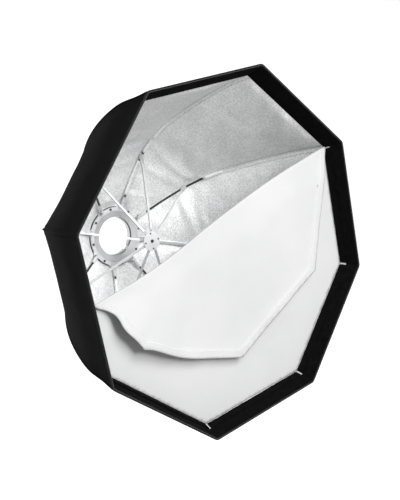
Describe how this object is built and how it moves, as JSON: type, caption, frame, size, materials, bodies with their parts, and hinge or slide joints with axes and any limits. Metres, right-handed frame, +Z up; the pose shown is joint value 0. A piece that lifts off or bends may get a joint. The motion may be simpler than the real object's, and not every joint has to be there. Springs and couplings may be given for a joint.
{
  "type": "octabox",
  "caption": "Eight-sided umbrella softbox with a bowed-rib frame, silver lining, black cover, bayonet ring and a recessed white diffuser, half of it folded over",
  "frame": {"origin": "centre of the rear face of the bayonet bore that the lamp head plugs into", "axes": "+Y out of the back towards the lamp, open front faces -Y, +Z up through rib 2, +X through rib 4"},
  "size_m": [0.806, 0.4942, 0.806],
  "materials": {
    "black_cover": "black coated nylon, slight sheen",
    "silver_lining": "pebbled silver reflective cloth",
    "black_tape": "hook-and-loop pile, matte",
    "white_diffuser": "thin translucent white nylon",
    "black_rod": "black coated spring rod",
    "white_metal": "white powder coat",
    "ring_metal": "light grey satin paint",
    "grey_metal": "grey satin paint",
    "bare_metal": "satin machined",
    "steel": "zinc plated",
    "black_plastic": "moulded, matte"
  },
  "bodies": {
    "root": {"mount_ring": "ring_metal", "bayonet_insert": "bare_metal", "reflector_cone": "grey_metal", "hinge_brackets": "white_metal", "ring_fasteners": "steel", "neck_collar": "black_plastic"},
    "hub": {"hub_front": "ring_metal", "hub_core": "ring_metal", "hub_fasteners": "steel"},
    "rib_1": {"rib_rod_1": "black_rod", "rib_fittings_1": "white_metal", "cover_panel_1": "black_cover", "lining_panel_1": "silver_lining", "lip_band_1": "black_tape"},
    "stretcher_1": {"stretcher_1": "white_metal"},
    "rib_2": {"rib_rod_2": "black_rod", "rib_fittings_2": "white_metal", "cover_panel_2": "black_cover", "lining_panel_2": "silver_lining", "lip_band_2": "black_tape"},
    "stretcher_2": {"stretcher_2": "white_metal"},
    "rib_3": {"rib_rod_3": "black_rod", "rib_fittings_3": "white_metal", "cover_panel_3": "black_cover", "lining_panel_3": "silver_lining", "lip_band_3": "black_tape"},
    "stretcher_3": {"stretcher_3": "white_metal"},
    "rib_4": {"rib_rod_4": "black_rod", "rib_fittings_4": "white_metal", "cover_panel_4": "black_cover", "lining_panel_4": "silver_lining", "lip_band_4": "black_tape"},
    "stretcher_4": {"stretcher_4": "white_metal"},
    "rib_5": {"rib_rod_5": "black_rod", "rib_fittings_5": "white_metal", "cover_panel_5": "black_cover", "lining_panel_5": "silver_lining", "lip_band_5": "black_tape"},
    "stretcher_5": {"stretcher_5": "white_metal"},
    "rib_6": {"rib_rod_6": "black_rod", "rib_fittings_6": "white_metal", "cover_panel_6": "black_cover", "lining_panel_6": "silver_lining", "lip_band_6": "black_tape"},
    "stretcher_6": {"stretcher_6": "white_metal"},
    "rib_7": {"rib_rod_7": "black_rod", "rib_fittings_7": "white_metal", "cover_panel_7": "black_cover", "lining_panel_7": "silver_lining", "lip_band_7": "black_tape"},
    "stretcher_7": {"stretcher_7": "white_metal"},
    "rib_8": {"rib_rod_8": "black_rod", "rib_fittings_8": "white_metal", "cover_panel_8": "black_cover", "lining_panel_8": "silver_lining", "lip_band_8": "black_tape"},
    "stretcher_8": {"stretcher_8": "white_metal"},
    "diffuser": {"diffuser_sheet": "white_diffuser", "diffuser_hook_tape": "black_tape"},
    "flap": {"diffuser_flap": "white_diffuser"}
  },
  "joints": [
    {"name": "hub_slide", "type": "slide", "parent": "root", "child": "hub", "axis": [0, -1, 0], "range_m": [0, 0.1458], "deforming": ["diffuser_sheet", "diffuser_hook_tape", "diffuser_flap"]},
    {"name": "rib_1_fold", "type": "hinge", "parent": "root", "child": "rib_1", "pos_m": [-0.05657, -0.0295, 0.05657], "axis": [0.7071, 0, 0.7071], "range_deg": [0, 37.1], "deforming": ["cover_panel_1", "lining_panel_1", "lip_band_1"]},
    {"name": "rib_2_fold", "type": "hinge", "parent": "root", "child": "rib_2", "pos_m": [0, -0.0295, 0.08], "axis": [1, 0, 0], "range_deg": [0, 37.1], "deforming": ["cover_panel_2", "lining_panel_2", "lip_band_2"]},
    {"name": "rib_3_fold", "type": "hinge", "parent": "root", "child": "rib_3", "pos_m": [0.05657, -0.0295, 0.05657], "axis": [0.7071, 0, -0.7071], "range_deg": [0, 37.1], "deforming": ["cover_panel_3", "lining_panel_3", "lip_band_3"]},
    {"name": "rib_4_fold", "type": "hinge", "parent": "root", "child": "rib_4", "pos_m": [0.08, -0.0295, 0], "axis": [0, 0, -1], "range_deg": [0, 37.1], "deforming": ["cover_panel_4", "lining_panel_4", "lip_band_4"]},
    {"name": "rib_5_fold", "type": "hinge", "parent": "root", "child": "rib_5", "pos_m": [0.05657, -0.0295, -0.05657], "axis": [-0.7071, 0, -0.7071], "range_deg": [0, 37.1], "deforming": ["cover_panel_5", "lining_panel_5", "lip_band_5"]},
    {"name": "rib_6_fold", "type": "hinge", "parent": "root", "child": "rib_6", "pos_m": [0, -0.0295, -0.08], "axis": [-1, 0, 0], "range_deg": [0, 37.1], "deforming": ["cover_panel_6", "lining_panel_6", "lip_band_6"]},
    {"name": "rib_7_fold", "type": "hinge", "parent": "root", "child": "rib_7", "pos_m": [-0.05657, -0.0295, -0.05657], "axis": [-0.7071, 0, 0.7071], "range_deg": [0, 37.1], "deforming": ["cover_panel_7", "lining_panel_7", "lip_band_7"]},
    {"name": "rib_8_fold", "type": "hinge", "parent": "root", "child": "rib_8", "pos_m": [-0.08, -0.0295, 0], "axis": [0, 0, 1], "range_deg": [0, 37.1], "deforming": ["cover_panel_8", "lining_panel_8", "lip_band_8"]},
    {"name": "stretcher_1_swing", "type": "hinge", "parent": "hub", "child": "stretcher_1", "pos_m": [-0.01414, -0.171, 0.01414], "axis": [-0.7071, 0, -0.7071], "range_deg": [0, 29.4]},
    {"name": "stretcher_2_swing", "type": "hinge", "parent": "hub", "child": "stretcher_2", "pos_m": [0, -0.171, 0.02], "axis": [-1, 0, 0], "range_deg": [0, 29.4]},
    {"name": "stretcher_3_swing", "type": "hinge", "parent": "hub", "child": "stretcher_3", "pos_m": [0.01414, -0.171, 0.01414], "axis": [-0.7071, 0, 0.7071], "range_deg": [0, 29.4]},
    {"name": "stretcher_4_swing", "type": "hinge", "parent": "hub", "child": "stretcher_4", "pos_m": [0.02, -0.171, 0], "axis": [0, 0, 1], "range_deg": [0, 29.4]},
    {"name": "stretcher_5_swing", "type": "hinge", "parent": "hub", "child": "stretcher_5", "pos_m": [0.01414, -0.171, -0.01414], "axis": [0.7071, 0, 0.7071], "range_deg": [0, 29.4]},
    {"name": "stretcher_6_swing", "type": "hinge", "parent": "hub", "child": "stretcher_6", "pos_m": [0, -0.171, -0.02], "axis": [1, 0, 0], "range_deg": [0, 29.4]},
    {"name": "stretcher_7_swing", "type": "hinge", "parent": "hub", "child": "stretcher_7", "pos_m": [-0.01414, -0.171, -0.01414], "axis": [0.7071, 0, -0.7071], "range_deg": [0, 29.4]},
    {"name": "stretcher_8_swing", "type": "hinge", "parent": "hub", "child": "stretcher_8", "pos_m": [-0.02, -0.171, 0], "axis": [0, 0, -1], "range_deg": [0, 29.4]},
    {"name": "diffuser_off", "type": "slide", "parent": "hub", "child": "diffuser", "axis": [0, -1, 0], "range_m": [0, 0.15]},
    {"name": "flap_fold", "type": "hinge", "parent": "diffuser", "child": "flap", "pos_m": [-0.02772, -0.454, 0.06691], "axis": [-0.8271, 0, -0.5621], "range_deg": [0, 180]}
  ],
  "couplings": [
    {"joint": "rib_1_fold", "follows": "hub_slide", "rad_per_m": 4.4292},
    {"joint": "rib_2_fold", "follows": "hub_slide", "rad_per_m": 4.4292},
    {"joint": "rib_3_fold", "follows": "hub_slide", "rad_per_m": 4.4292},
    {"joint": "rib_4_fold", "follows": "hub_slide", "rad_per_m": 4.4292},
    {"joint": "rib_5_fold", "follows": "hub_slide", "rad_per_m": 4.4292},
    {"joint": "rib_6_fold", "follows": "hub_slide", "rad_per_m": 4.4292},
    {"joint": "rib_7_fold", "follows": "hub_slide", "rad_per_m": 4.4292},
    {"joint": "rib_8_fold", "follows": "hub_slide", "rad_per_m": 4.4292},
    {"joint": "stretcher_1_swing", "follows": "hub_slide", "rad_per_m": 3.4966},
    {"joint": "stretcher_2_swing", "follows": "hub_slide", "rad_per_m": 3.4966},
    {"joint": "stretcher_3_swing", "follows": "hub_slide", "rad_per_m": 3.4966},
    {"joint": "stretcher_4_swing", "follows": "hub_slide", "rad_per_m": 3.4966},
    {"joint": "stretcher_5_swing", "follows": "hub_slide", "rad_per_m": 3.4966},
    {"joint": "stretcher_6_swing", "follows": "hub_slide", "rad_per_m": 3.4966},
    {"joint": "stretcher_7_swing", "follows": "hub_slide", "rad_per_m": 3.4966},
    {"joint": "stretcher_8_swing", "follows": "hub_slide", "rad_per_m": 3.4966}
  ]
}
